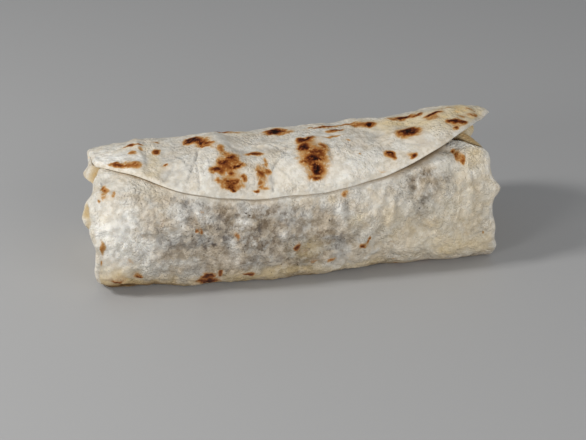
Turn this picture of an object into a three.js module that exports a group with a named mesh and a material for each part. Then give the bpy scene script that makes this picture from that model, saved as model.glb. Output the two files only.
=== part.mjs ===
// A whole burrito: one flour tortilla rolled round its filling, lying on its flat underside.
// The roll runs along X with its front facing -Y. The outer flap comes over the top from behind
// and lies down the front, its free edge the round edge of the tortilla. All lengths are in mm.
import * as THREE from "three";

// The tortilla
const TORTILLA_RADIUS = 150.5;
const SHEET = 1.9;
const FOLDED_SIDE = 1.3;

// The roll: a soft superellipse round an axis along X, cut off flat where it lies
const DEPTH = 77;
const HEIGHT = 63.5;
const RISE_TO_RIGHT = 0.03;
const AXIS_HEIGHT = 28;
const SQUASH = 3.5;
const LEFT_DROP = 3.5;
const END_LIFT = { left: 5.5, right: 4 };
const UPPER_POWER = 2.45;
const LOWER_POWER = 3.2;
const FRONT_BULGE = 1.2;
const END_SET_BACK = { left: 3.6, right: 2.2 };
const REACH = { left: 101, right: 100 };

// The filling's lumps and the sheet's larger wrinkles, as relief
const LUMP = { size: 46, height: 1 };
const WRINKLE = { size: 21, height: 0.55 };

// Where the roll swells or sinks, behind its top and along its lower front edge. A hump is its
// height, the middle of it along X and its half width. A step is its height and where along X it
// starts and ends.
const CROWN = {
  height: -1.4,
  humps: [[3, -37, 9], [-1, -4, 10]],
  steps: [[-0.6, -76, -90], [4.4, 58, 82], [-1.5, 86, 95], [-2.4, 95, 102]],
};
const HEM = {
  height: 0,
  humps: [[-1.9, -76, 11], [-0.6, 2, 8], [1.5, -20, 10], [1.3, -95, 6]],
  steps: [[-2.4, 5, 52], [2.4, 72, 92]],
};

// The flap, and where its free edge departs from the tortilla's circle, down or up the front
const FLAP_LOWEST = 38.8;
const FLAP_CLOSED = 0.6;
const FOLD_STEP = -75;
const FLAP_OVERHANG = { left: -1.6, right: 11.2 };
const DROOP = {
  height: 0,
  humps: [[2.2, -57, 10], [0.6, -38, 7], [-1.6, -89, 12], [-0.9, 50, 7], [0.7, 14, 5]],
  steps: [
    [2.2, -12, -60],
    [2.5, -66, -94],
    [-7, -95.5, -101.5],
    [-1.7, -14, 0],
    [2.2, 12, 60],
    [1.2, 55, 75],
    [1.7, 66, 86],
    [-1.6, 84, 102],
    [-1.4, 93, 102],
  ],
};

// The ends: the sheet turns in over a rounded rim and winds to the middle as a flattened spiral
const RIM = 3;
const RIM_NOTCH = { left: 5.2, right: 11 };
const END_TURNS = 2;
const CREASE = 3.4;

// The folds that stand out of each rim, or step back: how far along X, and the middle and the half
// width of each in degrees round the end
const RIM_FOLDS = {
  left: [[4, 52, 8], [-1.2, 14, 9], [-1.2, -22, 8], [-1, 130, 20], [1, 0, 6]],
  right: [[4.4, 24, 4.5], [2.5, -10, 10], [-1, 38, 7], [6, -45, 20], [2.6, -28, 9]],
};

// The corners that stand out inside the rims, in the same way
const CORNER_DEPTH = 0.3;
const CORNERS = {
  left: [[7.2, 28, 17], [3.3, 95, 26]],
  right: [[2, 28, 17], [1, 106, 8], [-3.4, 92, 7]],
};
const END_SWELL = { left: -2.2, right: 1.2 };
const MIDDLE_WIDTH = 0.36;
const MIDDLE_HEIGHT = 0.07;

// How finely the surface is cut
const STATIONS = 38;
const ROUND_STEPS = 62;
const FLAP_STEPS = 9;
const RIM_STEPS = 2;
const END_STEPS = 12;
const ARC_STEPS = 720;

const GOLDEN_ANGLE = Math.PI * (3 - Math.sqrt(5));
const TURN = 2 * Math.PI;

const { sin, cos, abs, exp, sqrt, min, max } = Math;
const inDegrees = (theta) => (theta * 180) / Math.PI;
const mix = (a, b, part) => a + (b - a) * part;

// Rises smoothly from 0 at a to 1 at b.
function rise(a, b, value) {
  const t = min(max((value - a) / (b - a), 0), 1);
  return t * t * (3 - 2 * t);
}

// A bell of height 1, as wide each way as its half width.
const bell = (value, middle, width) => exp(-(((value - middle) / width) ** 2));

// Humps added up at a place, and a height with humps and steps added to it.
const humpsAt = (value, humps) =>
  humps.reduce((sum, [height, middle, width]) => sum + height * bell(value, middle, width), 0);
const curveAt = (value, { height, humps, steps }) =>
  steps.reduce((sum, [up, from, to]) => sum + up * rise(from, to, value), height + humpsAt(value, humps));

// A smooth uneven field of about -1 to 1: waves of about one size that run in many directions.
function unevenness([x, y, z], size, seed) {
  const waves = 9;
  let sum = 0;
  for (let i = 0; i < waves; i++) {
    const tilt = 1 - (2 * (i + 0.5)) / waves;
    const flat = sqrt(1 - tilt * tilt);
    const turn = GOLDEN_ANGLE * i + seed;
    const pace = (TURN / size) * (0.8 + 0.4 * ((i * 0.618 + seed * 0.37) % 1));
    const along = x * flat * cos(turn) + y * flat * sin(turn) + z * tilt;
    sum += sin(pace * along + 1.7 * i * i + 3.1 * seed);
  }
  return sum / 3;
}

// The plain roll's radius in the direction theta: 0 is the front, a quarter turn is the top.
function rollRadius(theta, x) {
  const power = mix(LOWER_POWER, UPPER_POWER, rise(-0.5, 0.7, sin(theta)));
  const top = HEIGHT + RISE_TO_RIGHT * x - AXIS_HEIGHT - LEFT_DROP * rise(-70, -103, x);
  const endLift = x < 0 ? END_LIFT.left : END_LIFT.right;
  const below = AXIS_HEIGHT + SQUASH - endLift * rise(76, 101, abs(x));
  const half = sin(theta) > 0 ? top : below;
  const across = abs(cos(theta)) / (DEPTH / 2);
  return (across ** power + (abs(sin(theta)) / half) ** power) ** (-1 / power);
}

// The middle section as a table of arc length, from the underside round the front and over.
function measureSection() {
  const table = [{ theta: -TURN / 4, y: 0, z: -rollRadius(-TURN / 4, 0), length: 0 }];
  for (let i = 1; i <= ARC_STEPS; i++) {
    const theta = -TURN / 4 + (TURN * i) / ARC_STEPS;
    const r = rollRadius(theta, 0);
    const [y, z] = [-r * cos(theta), r * sin(theta)];
    const last = table[i - 1];
    table.push({ theta, y, z, length: last.length + Math.hypot(y - last.y, z - last.z) });
  }
  return table;
}
const SECTION = measureSection();
const TO_TOP = SECTION[ARC_STEPS / 2].length;

// The direction that lies a given length round from the top, positive towards the front.
function angleAt(way) {
  const next = SECTION.findIndex(({ length }) => length > TO_TOP - way);
  const [a, b] = [SECTION[next - 1], SECTION[next]];
  return mix(a.theta, b.theta, (TO_TOP - way - a.length) / (b.length - a.length));
}

// How far round from the top the flap's free edge lies, and how much of the flap is loose.
function flapEdge(x) {
  const sag = TORTILLA_RADIUS - sqrt(TORTILLA_RADIUS ** 2 - x ** 2);
  const waves = 0.3 * sin(x / 7) + 0.3 * sin(x / 3.7 + 1);
  return FLAP_LOWEST - sag + curveAt(x, DROOP) + waves;
}
const flapLoose = (x) => 7 + 17 * rise(-66, -98, x) + 36 * rise(42, 98, x);

// The gap under the flap, from 0 where it still touches to its full width at the free edge.
function flapGap(x, looseness) {
  const curl = 0.3 * rise(-70, -100, x) + 5.2 * rise(40, 82, x) - 4.9 * rise(83, 104, x);
  return FLAP_CLOSED * looseness ** 0.8 + curl * looseness ** 1.5;
}

// The flap's left side is folded under, so it is thicker there, with a low ridge at the fold's edge.
function flapThickness(x) {
  const ridge = 0.8 * bell(x, FOLD_STEP, 1.5);
  return SHEET + FOLDED_SIDE * rise(FOLD_STEP + 1.5, FOLD_STEP - 2.5, x) + ridge;
}

// How far the ends' rims are shifted along X, all round: both step back where the flap lies over
// them, and have folds that stand out.
function rimShift(theta, x) {
  const angle = inDegrees(theta);
  if (x < 0) {
    const notch = RIM_NOTCH.left * rise(56, 71, angle) * rise(98, 80, angle);
    return (humpsAt(angle, RIM_FOLDS.left) + notch) * rise(-60, -REACH.left, x);
  }
  const notch = RIM_NOTCH.right * rise(48, 68, angle) * rise(118, 84, angle);
  return (humpsAt(angle, RIM_FOLDS.right) - notch) * rise(72, REACH.right, x);
}

// A point of the roll, in the direction theta, a given height above the plain roll's surface.
// Every layer takes the same relief, so that no layer cuts another, and nothing sinks below 0.
function onRoll(x, theta, height) {
  const r = rollRadius(theta, x);
  const plain = [x, -r * cos(theta), r * sin(theta)];
  const relief =
    LUMP.height * unevenness(plain, LUMP.size, 1) + WRINKLE.height * unevenness(plain, WRINKLE.size, 2);
  const crown = curveAt(x, CROWN) * rise(0, 0.9, sin(theta)) * rise(0.45, -0.15, cos(theta));
  const hem = curveAt(x, HEM) * rise(-0.2, -0.6, sin(theta)) * rise(0, 0.4, cos(theta));
  const reach = r + height + relief + crown + hem;
  const end = (x / REACH.left) ** 2;
  const atEnd = (x < 0 ? END_SET_BACK.left : END_SET_BACK.right) * end * end;
  const setBack = atEnd * rise(0.2, 1, cos(theta)) - FRONT_BULGE * (1 - end);
  return [x, setBack - reach * cos(theta), max(0, AXIS_HEIGHT + reach * sin(theta))];
}

// How far the loose flap reaches out past its station, at its free edge.
function overhangAt(station) {
  const left = FLAP_OVERHANG.left * rise(-60, -REACH.left, station);
  return FLAP_OVERHANG.right * rise(60, REACH.right, station) - left;
}

// The body's directions round one station, in order: from where the flap touches it, over the
// back, the underside and the front, and on under the flap to the same place one layer further in.
// They keep still from station to station except near the flap, whose edges they follow.
function directionsRound(edge, touch) {
  const [usualEdge, usualTouch] = [angleAt(flapEdge(0)), angleAt(flapEdge(0) - flapLoose(0))];
  const directions = [];
  for (let i = 0; i < ROUND_STEPS; i++) {
    const part = i / ROUND_STEPS;
    const usual = mix(usualTouch, usualEdge + TURN, part);
    const follow = (touch - usualTouch) * rise(0.45, 0, part) + (edge - usualEdge) * rise(0.6, 1, part);
    directions.push(usual + follow);
  }
  for (let i = 0; i <= FLAP_STEPS; i++) directions.push(TURN + mix(edge, touch, i / FLAP_STEPS));
  return directions;
}

// A direction counted from a quarter turn below the front, as the rim's shape needs it.
const fromBelow = (theta) => (theta > 0.75 * TURN ? theta - TURN : theta);

// One station of the surface: the top of the loose flap from its free edge back to where it
// touches, the body's round, the underside of the flap out to its edge again, and the lip.
function sectionAt(station) {
  const overhang = overhangAt(station);
  const edge = angleAt(flapEdge(station + overhang));
  const touch = angleAt(flapEdge(station) - flapLoose(station));
  const thickness = flapThickness(station);
  const directions = directionsRound(edge, touch);
  const flap = [];
  const under = [];
  for (let i = 0; i <= FLAP_STEPS; i++) {
    const looseness = 1 - i / FLAP_STEPS;
    const theta = mix(edge, touch, i / FLAP_STEPS);
    const held = rimShift(theta, station) * rise(0.5, 0, looseness);
    const x = station + overhang * looseness + held;
    flap.push(onRoll(x, theta, flapGap(x, looseness) + thickness));
    under.push(onRoll(x, theta, flapGap(x, looseness)));
  }
  const round = directions.map((theta) => {
    const layer = thickness * (1 - (theta - touch) / TURN);
    return onRoll(station + rimShift(fromBelow(theta), station), theta, layer);
  });
  const tip = station + overhang;
  const lip = onRoll(tip, edge - thickness / DEPTH, flapGap(tip, 1) + thickness / 2);
  return { flap, round, under, lip, directions, station };
}

// The surface, as points and as triangles that name them.
const points = [];
const triangles = [];
const place = (point) => points.push(...point) / 3 - 1;

function distance(a, b) {
  const along = (i) => points[3 * a + i] - points[3 * b + i];
  return Math.hypot(along(0), along(1), along(2));
}

// Two triangles over four corners named in turn, split along the shorter diagonal.
function addQuad(a, b, c, d) {
  if (distance(b, d) < distance(a, c)) triangles.push(a, b, d, b, c, d);
  else triangles.push(a, b, c, a, c, d);
}

// Places a section's points. The flap's top ends where the round begins, and its underside where
// the round ends, so those points are shared.
function placeSection({ flap, round, under, lip, directions, station }) {
  const top = flap.slice(0, -1).map(place);
  const body = round.map(place);
  const below = under.slice(0, -1).map(place);
  const edge = place(lip);
  const loop = [...top, ...body, ...below.toReversed(), edge];
  const topRow = [...top, body[0]];
  const belowRow = [...below, body.at(-1)];
  return { loop, body, topRow, belowRow, edge, directions, station };
}

// The wall between two neighbouring stations.
function joinSections(left, right) {
  const count = left.loop.length;
  for (let i = 0; i < count; i++) {
    const next = (i + 1) % count;
    addQuad(left.loop[i], right.loop[i], right.loop[next], left.loop[next]);
  }
}

// How far an end stands out, a given part of the way from its rim to its middle: folded edges
// with creases between them, wound inwards, and the corner of a fold that sticks out.
function endRelief(side, theta, inward, wound) {
  const crease = 1 - abs(sin((TURN / 2) * (END_TURNS * inward - wound))) ** 0.6;
  const corners = humpsAt(inDegrees(theta), side < 0 ? CORNERS.left : CORNERS.right);
  const swell = (side < 0 ? END_SWELL.left : END_SWELL.right) * rise(0, 0.5, inward);
  return corners * bell(inward, CORNER_DEPTH, 0.15) - CREASE * crease * rise(0.03, 0.2, inward) + swell;
}

// One point of an end, inside the rim.
function onEnd(side, section, index, step) {
  const theta = fromBelow(section.directions[index]);
  const shift = rimShift(theta, section.station);
  const [, y, z] = onRoll(section.station + shift, theta, 0);
  const middle = [y * MIDDLE_WIDTH, mix(AXIS_HEIGHT + 4, z, MIDDLE_HEIGHT)];
  const across = Math.hypot(y - middle[0], z - middle[1]);
  const quarter = (TURN / 4) * min(step / RIM_STEPS, 1);
  const afterRim = max(step - RIM_STEPS, 0) / (END_STEPS - RIM_STEPS);
  const rim = (RIM / across) * (1 - cos(quarter));
  const inward = mix(rim, 1, afterRim);
  const wound = (section.directions[index] - section.directions[0]) / TURN;
  const out = RIM * sin(quarter) + endRelief(side, theta, inward, wound);
  const x = section.station + shift * rise(0.35, 0, inward) + side * out;
  const soft = unevenness([x, y * (1 - inward), z * (1 - inward)], WRINKLE.size, 3);
  return [x + side * soft * rise(0, 0.3, inward), mix(y, middle[0], inward), mix(z, middle[1], inward)];
}

// Closes one end: the body's end inside its rim, and the flap's side edge next to it.
function closeEnd(side, section, placed) {
  const face = (a, b, c) => (side > 0 ? triangles.push(a, b, c) : triangles.push(a, c, b));
  const fourCorners = (a, b, c, d) => {
    face(a, b, c);
    face(a, c, d);
  };
  let outer = placed.body;
  for (let step = 1; step <= END_STEPS; step++) {
    const inner = section.directions.slice(0, -1).map((_, i) => place(onEnd(side, section, i, step)));
    inner.push(inner[0]);
    for (let i = 1; i < inner.length; i++) fourCorners(outer[i - 1], inner[i - 1], inner[i], outer[i]);
    if (step === 1) closeFlapSide(side, section, placed, inner[0], face, fourCorners);
    outer = inner;
  }
  const hub = place([section.station + side * (RIM - 1), 0, AXIS_HEIGHT + 4]);
  for (let i = 1; i < outer.length; i++) face(outer[i - 1], hub, outer[i]);
}

// The rounded side edge of the loose flap, from its free edge to where it joins the body's end.
function closeFlapSide(side, section, { topRow, belowRow, edge }, joint, face, fourCorners) {
  const nose = section.flap.map(([x, y, z], i) => {
    const [, yBelow, zBelow] = section.under[i];
    const half = Math.hypot(y - yBelow, z - zBelow) / 2;
    return place([x + side * half, (y + yBelow) / 2, (z + zBelow) / 2]);
  });
  for (let i = 1; i < nose.length; i++) {
    fourCorners(topRow[i - 1], nose[i - 1], nose[i], topRow[i]);
    fourCorners(nose[i - 1], belowRow[i - 1], belowRow[i], nose[i]);
  }
  face(nose[0], edge, belowRow[0]);
  face(nose[0], topRow[0], edge);
  face(joint, topRow.at(-1), nose.at(-1));
  face(joint, nose.at(-1), belowRow.at(-1));
}

// Stations lie closer together towards the ends.
function stationAt(i) {
  const part = (2 * i) / STATIONS - 1;
  const eased = 0.75 * part + 0.25 * sin((part * TURN) / 4);
  return eased * (eased < 0 ? REACH.left - RIM : REACH.right - RIM);
}

function buildSurface() {
  const sections = Array.from({ length: STATIONS + 1 }, (_, i) => sectionAt(stationAt(i)));
  const placed = sections.map(placeSection);
  for (let i = 1; i < placed.length; i++) joinSections(placed[i - 1], placed[i]);
  closeEnd(-1, sections[0], placed[0]);
  closeEnd(1, sections.at(-1), placed.at(-1));
  const geometry = new THREE.BufferGeometry();
  geometry.setAttribute("position", new THREE.Float32BufferAttribute(points, 3));
  geometry.setIndex(triangles);
  geometry.computeVertexNormals();
  geometry.computeBoundingBox();
  const middle = geometry.boundingBox.getCenter(new THREE.Vector3());
  return geometry.translate(-middle.x, -middle.y, 0);
}

const geometry = buildSurface();
const material = new THREE.MeshStandardMaterial({ color: "#d9d2c6", roughness: 0.6, metalness: 0 });
const wrap = new THREE.Mesh(geometry, material);
wrap.name = "tortilla_wrap";

const burrito = new THREE.Group();
burrito.add(wrap);

export default burrito;
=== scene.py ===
"""A whole burrito: one toasted flour tortilla rolled round its filling, lying on its underside.

The wrap is one closed surface over a grid: stations along the roll by steps round it. Its shape is
worked out in millimetres, along X for the length, towards -Y for the front and Z for up, and is
set into the frame in metres. "Way" is the length round the roll from its top line, positive
towards the front, so (x, way) is a place on the unrolled sheet.
"""

import bpy
import numpy as np
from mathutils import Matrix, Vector


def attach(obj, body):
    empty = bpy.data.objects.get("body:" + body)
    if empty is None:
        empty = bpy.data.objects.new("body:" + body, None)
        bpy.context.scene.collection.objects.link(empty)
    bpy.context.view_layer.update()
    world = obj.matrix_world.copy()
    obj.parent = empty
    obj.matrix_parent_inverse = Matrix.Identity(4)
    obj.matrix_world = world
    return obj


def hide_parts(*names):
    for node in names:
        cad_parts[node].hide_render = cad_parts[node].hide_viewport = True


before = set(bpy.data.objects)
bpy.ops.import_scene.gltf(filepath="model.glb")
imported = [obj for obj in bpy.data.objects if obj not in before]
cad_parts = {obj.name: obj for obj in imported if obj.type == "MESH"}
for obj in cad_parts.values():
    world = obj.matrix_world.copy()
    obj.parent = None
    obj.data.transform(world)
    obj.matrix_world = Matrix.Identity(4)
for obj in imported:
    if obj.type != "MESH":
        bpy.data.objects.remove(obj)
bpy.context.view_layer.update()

MM = 0.001
TURN = 2 * np.pi
GOLDEN_ANGLE = np.pi * (3 - np.sqrt(5))

# The waves that one uneven field sums, and the cells each way after which the cobbles repeat
WAVES = 9
CELLS = 64

# ---------------------------------------------------------------- sizes, in millimetres
# A slope is (height, where it starts, where it is full), and a hump is (height, middle, width). They
# run along X, and the rims' run in degrees round the end.

# The tortilla
TORTILLA_RADIUS = 150.5
SHEET = 1.9
FOLDED_SIDE = 1.3
EDGE_SHEET = 0.95
EDGE_BEVEL = 9

# The roll
DEPTH = 77
HEIGHT = 63.5
RISE_TO_RIGHT = 0.03
AXIS_HEIGHT = 28
SQUASH = 3.5
LEFT_DROP = 3.5
END_LIFT_LEFT, END_LIFT_RIGHT = 5.5, 4
UPPER_POWER = 2.45
LOWER_POWER = 3.2
FRONT_BULGE = 1.2
SET_BACK_LEFT, SET_BACK_RIGHT = 3.6, 2.2
REACH_LEFT, REACH_RIGHT = 101, 100
LUMP_SIZE, LUMP_HEIGHT = 46, 1
WRINKLE_SIZE, WRINKLE_HEIGHT = 21, 0.55
CROWN_SUNK = 1.4
CROWN_SLOPES = [(-0.6, -76, -90), (4.4, 58, 82), (-1.5, 86, 95), (-2.4, 95, 102)]
CROWN_HUMPS = [(3, -37, 9), (-1, -4, 10)]
HEM_SLOPES = [(-2.4, 5, 52), (2.4, 72, 92), (1, 86, 96)]
HEM_HUMPS = [(1.5, -20, 10), (1.3, -95, 6), (-1.9, -76, 11), (-0.6, 2, 8)]

# The flap
FLAP_LOWEST = 38.8
FLAP_CLOSED = 0.6
EDGE_SLOPES = [
    (2.2, -12, -60),
    (2.2, 12, 60),
    (2.5, -66, -94),
    (-7, -95.5, -101.5),
    (-1.7, -14, 0),
    (1.7, 66, 86),
    (1.2, 55, 75),
    (-1.6, 84, 102),
    (-1.4, 93, 102),
]
EDGE_HUMPS = [(-1.6, -89, 12), (2.2, -57, 10), (0.6, -38, 7), (0.7, 14, 5), (-0.9, 50, 7)]
EDGE_WAVE = 0.3
LOOSE_WIDTH = 7
LOOSE_SLOPES = [(17, -66, -98), (36, 42, 98)]
CURL_SLOPES = [(0.3, -70, -100), (5.2, 40, 82), (-4.9, 83, 104)]
FOLD_STEP = -75
FOLD_RIDGE = 0.8
OVERHANG_LEFT, OVERHANG_RIGHT = -1.6, 11.2
EDGE_SHADE = 0.7
EDGE_SHADE_SLOPES = [(1.4, -60, -76), (1.9, 22, 62)]
UNDER_FLAP_SHADE = 0.85

# The ends
RIM = 3
RIM_SLOPES_LEFT = [(5.2, 56, 71), (-5.2, 80, 98)]
RIM_HUMPS_LEFT = [(-1.2, -22, 8), (1, 0, 6), (-1.2, 14, 9), (4, 52, 8), (-1, 130, 20)]
RIM_SLOPES_RIGHT = [(-11, 48, 68), (11, 84, 118)]
RIM_HUMPS_RIGHT = [(6, -45, 20), (2.6, -28, 9), (2.5, -10, 10), (4.2, 24, 6.5), (-1.4, 39, 7)]
CORNER_LEFT, CORNER_RIGHT = 7.2, 2
SWELL_LEFT, SWELL_RIGHT = -2.2, 1.2
END_TURNS = 2
CREASE = 3.4
MIDDLE_WIDTH, MIDDLE_HEIGHT = 0.36, 0.07
MIDDLE_RAISED = 4
TUCK_START, TUCK_WAY, TUCK_SLOPE = 80, 13.8, 0.57
TUCK_DROP = 2.4
OPENING_DEPTH = 2.5

# The sheet's own relief: how large its lumps and pebbles are, how high, and how much of them the
# flap has. A mark's or patch's outline wanders by its own reach, in waves of its own length.
BIG_LUMP, BIG_LUMP_HEIGHT = 11, 1.7
SMALL_LUMP, SMALL_LUMP_HEIGHT = 5.5, 1.8
PEBBLE, PEBBLE_HEIGHT = 3.1, 0.75
FLAP_LUMPS, FLAP_PEBBLES = 0.4, 0.5
SIDEWAYS, SIDEWAYS_SIZE = 1.4, 16
FOLD_HEIGHT = 0.45
PINCH_HEIGHT = 0.35
BLISTER, BLISTER_HEIGHT = 2.6, 0.6
MARK_WANDER, MARK_WANDER_SIZE = 0.7, 6
PATCH_WANDER, PATCH_WANDER_SIZE = 1.5, 11

# The sizes of the finish's patterns
MOTTLE, MEAL, FLECK = 8, 3, 4.2
TINT, FILLING_TINT = 9, 13
SPECK, BLOTCH = 1.3, 1.8
COARSE, GRAIN, PIMPLE = 2.6, 0.9, 2.4
BUMP_HEIGHT = 2.4
SCATTER = 1.2

# The middle of the solid's box, measured from the middle of the tortilla's length
BOX_MIDDLE = np.array([2.05, 0.37, 0])

# How finely the surface is cut
STATIONS = 250
ROUND_STEPS = 212
FLAP_STEPS = 28
LIP_STEPS = 3
RIM_STEPS = 5
END_STEPS = 34
SECTION_SAMPLES = 721
SHARE_SAMPLES = 1001

# ---------------------------------------------------------------- colours, in hex
DOUGH, DULLER_DOUGH, FLOURY = "d6d0c2", "c1baab", "ece8de"
# Painted shade in the relief's hollows; grey for the flap's dulled patches, and painted shade in the
# creases and at the foot of the fold's step
HOLLOW_SHADE, DULL_AND_CREASE_SHADE = "aca294", "9c9994"
TINT_COOL, TINT_WARM = "c4c4c2", "ccb596"
FILLING_COOL, FILLING_WARM = "5d5653", "75644f"
# Whiter dough where it lies thicker, also painted light on the left end
THICK_AND_LIT_DOUGH = "f6f4ed"
# Yellower thin dough, also painted shade along the foot; the oiled tone, also a painted glow of light
# through the right end's inner layer
THIN_AND_SHADED_DOUGH, OILED_AND_GLOWING_DOUGH = "dac392", "e4bf86"
# Painted shade: brown under the flap, beside its edge, along the tuck, at the foot and in the ends'
# openings, and deep brown where darkest
SHADE_BROWN, DEEP_SHADE_BROWN = "957648", "5a3d1c"
SPECK_COLOUR = "4c4138"
SODDEN_BROWN = "75503f"
BROWNS = [
    (0.08, "c9b8a2"),
    (0.18, "c2a47e"),
    (0.28, "b58955"),
    (0.38, "a66e36"),
    (0.48, "8a501f"),
    (0.6, "6c340f"),
    (0.72, "4a1b05"),
    (0.86, "280a02"),
    (0.97, "120401"),
]

# ---------------------------------------------------------------- floor, light and camera, in metres
FLOOR_HALF, FLOOR_COLOUR, FLOOR_ROUGHNESS = 2.0, "acacac", 0.6
ROOM_COLOUR, ROOM_STRENGTH = (0.95, 0.97, 1.0, 1.0), 0.3
# Each softbox: name, place, size, power, colour
SOFTBOXES = [
    ("key_from_upper_left", (-0.85, -0.1, 0.8), 0.22, 6.8, (1.0, 0.99, 0.97)),
    ("side_from_left_front", (-0.8, -0.7, 0.4), 0.25, 3.2, (1.0, 0.99, 0.97)),
    ("fill_from_front", (0.58, -0.96, 0.4), 0.8, 5.0, (1.0, 0.99, 0.98)),
]
SOFTBOX_TARGET = (0, 0, 0.03)
CAMERA_PLACE = (-0.0879, -0.5307, 0.3273)
CAMERA_TARGET = (0.0002, -0.0042, 0.0180)
LENS, SENSOR = 72.2, 36
NEAREST_SEEN = 0.01

# ---------------------------------------------------------------- what the griddle left, in millimetres
# Each mark: x, way, half length along x, half width along the way, turn in degrees, depth of browning
FLAP_MARKS = [
    (-86.6, 11, 2.8, 1.9, 6, 0.56),
    (-82.4, 12.4, 3, 1.8, 8, 0.34),
    (-77.4, 13.4, 2.5, 2.3, 0, 0.42),
    (-82, 12.5, 8, 3.6, 6, 0.18),
    (-78.3, -0.3, 1.6, 2.4, 0, 0.42),
    (-74, -5, 1.7, 1.8, 0, 0.3),
    (-81.5, -9.5, 1.5, 1, 0, 0.6),
    (-78, -10.5, 2, 1, 0, 0.66),
    (-74, -10, 1.9, 1, 0, 0.64),
    (-66, -13, 2, 1.5, 0, 0.35),
    (-66.6, -0.8, 1.7, 3, 12, 0.72),
    (-63.1, 13.2, 0.9, 1.3, 20, 0.78),
    (-62.6, 15.5, 3.4, 2.8, 0, 0.12),
    (-47.4, -7, 5.4, 2.5, 60, 0.98),
    (-43, -0.6, 3.8, 1.6, 46, 0.82),
    (-38.8, 2.6, 2, 0.6, 30, 0.4),
    (-50.6, -7.4, 1.8, 2.6, 0, 0.62),
    (-45, -3.4, 10, 4.2, 56, 0.2),
    (-43.5, 3.3, 3.6, 0.6, 28, 0.62),
    (-34, -17.6, 6, 1.7, 0, 0.88),
    (-27, -14.4, 8, 1.4, 0, 0.28),
    (-4.6, -12.4, 5.2, 3.8, 0, 1.3),
    (0, -7.6, 4, 1.8, -10, 0.34),
    (-35.2, 8.4, 2.2, 2.2, 0, 0.42),
    (-33.5, 11.6, 2.4, 1.7, 0, 0.28),
    (-31.4, 14.4, 2.3, 1.3, -8, 0.8),
    (-34.8, 18, 2.9, 1.7, 8, 0.72),
    (-28.6, 20.6, 3.8, 1.1, -6, 0.84),
    (-38.7, 22.2, 3.3, 1.4, 4, 0.78),
    (-32.2, 24.4, 1.7, 1.1, 0, 0.64),
    (-25.8, 26.7, 2, 1.3, 15, 0.62),
    (-39.3, 28, 1.2, 1.4, 0, 0.44),
    (-31.9, 28.6, 2.8, 1.3, -4, 0.74),
    (-32.8, 31.4, 2, 1.3, 10, 0.78),
    (-31.4, 33, 1.5, 0.8, 0, 0.76),
    (-29.4, 16.6, 3, 2.2, 0, 0.38),
    (-33.6, 20.6, 4, 1.2, 0, 0.26),
    (-36, 29.6, 2, 1.4, 0, 0.3),
    (-28, 31.4, 2.6, 1.7, 0, 0.32),
    (-33, 21.5, 7, 11.5, 12, 0.18),
    (-19.6, 12.2, 3.2, 1.4, -4, 0.72),
    (-16.2, 12, 2.6, 1.2, 0, 0.38),
    (-17.4, 24.8, 1, 2.4, -20, 0.56),
    (-14.3, 24.5, 1.2, 0.8, 0, 0.54),
    (-14, 19, 1.1, 2.4, 15, 0.36),
    (-18.2, 30, 1.3, 0.9, 0, 0.56),
    (-21, 33.8, 1.8, 0.7, 0, 0.7),
    (-16.6, 32.4, 2.2, 1.3, 0, 0.34),
    (-16.6, 26, 4, 7.5, 0, 0.22),
    (7.8, 5.2, 3.7, 2.3, -4, 1),
    (6, 11.4, 2.4, 2.6, 5, 0.9),
    (9.6, 20.3, 3.7, 1.4, -4, 1.04),
    (10.2, 26, 3.1, 2.3, 10, 1.08),
    (8.9, 30.6, 2.4, 1.3, 0, 0.64),
    (10.6, 16.3, 3.6, 2.2, 0, 0.56),
    (8.4, 23.3, 3, 1.4, 0, 0.52),
    (4.4, 20.6, 2, 1, 0, 0.5),
    (16, 11.8, 1.9, 2.5, 0, 0.5),
    (14.6, 17.6, 2.1, 3.2, 0, 0.34),
    (9.8, 19, 7.6, 12.5, 0, 0.24),
    (0.4, 18.2, 1.6, 1.4, 0, 0.16),
    (20, -9, 7.5, 1.1, 0, 0.72),
    (24.5, -2.5, 4.6, 1.6, 0, 0.46),
    (25.6, -3, 2.2, 0.9, 0, 0.72),
    (22, 4.3, 5.5, 0.9, 0, 0.4),
    (43.6, -5.8, 3.4, 2.2, -8, 0.96),
    (37.4, -7.5, 3.6, 2, 0, 0.42),
    (33, -10.5, 5, 1.1, 0, 0.5),
    (62.5, -9, 4.2, 1.5, 0, 0.82),
    (61, -8.5, 7.5, 2.6, 0, 0.36),
    (69.5, -6.5, 2.7, 1.1, 0, 0.76),
    (76.6, -1.8, 4.5, 1.1, 0, 1),
    (74.8, 1.8, 3.4, 2.4, 0, 0.34),
    (84, 7.9, 2.9, 1.4, 0, 0.92),
    (88.3, 9.3, 1.8, 1.7, 0, 0.84),
    (83.6, 13.6, 1.3, 1.1, 0, 0.78),
    (85.5, 10, 6.5, 5, 0, 0.18),
    (90, 3, 3, 1.2, 0, 0.32),
    (97, 0.5, 3.4, 1.2, 0, 0.5),
    (97.5, -5, 3, 1.2, 0, 0.36),
    (84, -5, 5, 1.1, 0, 0.34),
    (61, 8.6, 3.8, 3.5, 0, 1.05),
    (57, 8.5, 3, 2.4, 0, 0.38),
    (60.4, 8.4, 5.6, 5, 0, 0.36),
    (47.8, 21.3, 2.7, 1.5, 55, 0.84),
    (47.6, 21.2, 3.4, 2.8, 55, 0.22),
    (58.6, 25.4, 1.7, 1.3, 0, 0.82),
    (57.8, 25, 2.7, 2.2, 0, 0.28),
    (43.5, 30.3, 2.7, 1.3, 15, 0.36),
    (28.6, 8.6, 0.7, 0.6, 0, 0.6),
    (33.5, 18.5, 0.6, 0.5, 0, 0.45),
]
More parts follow.
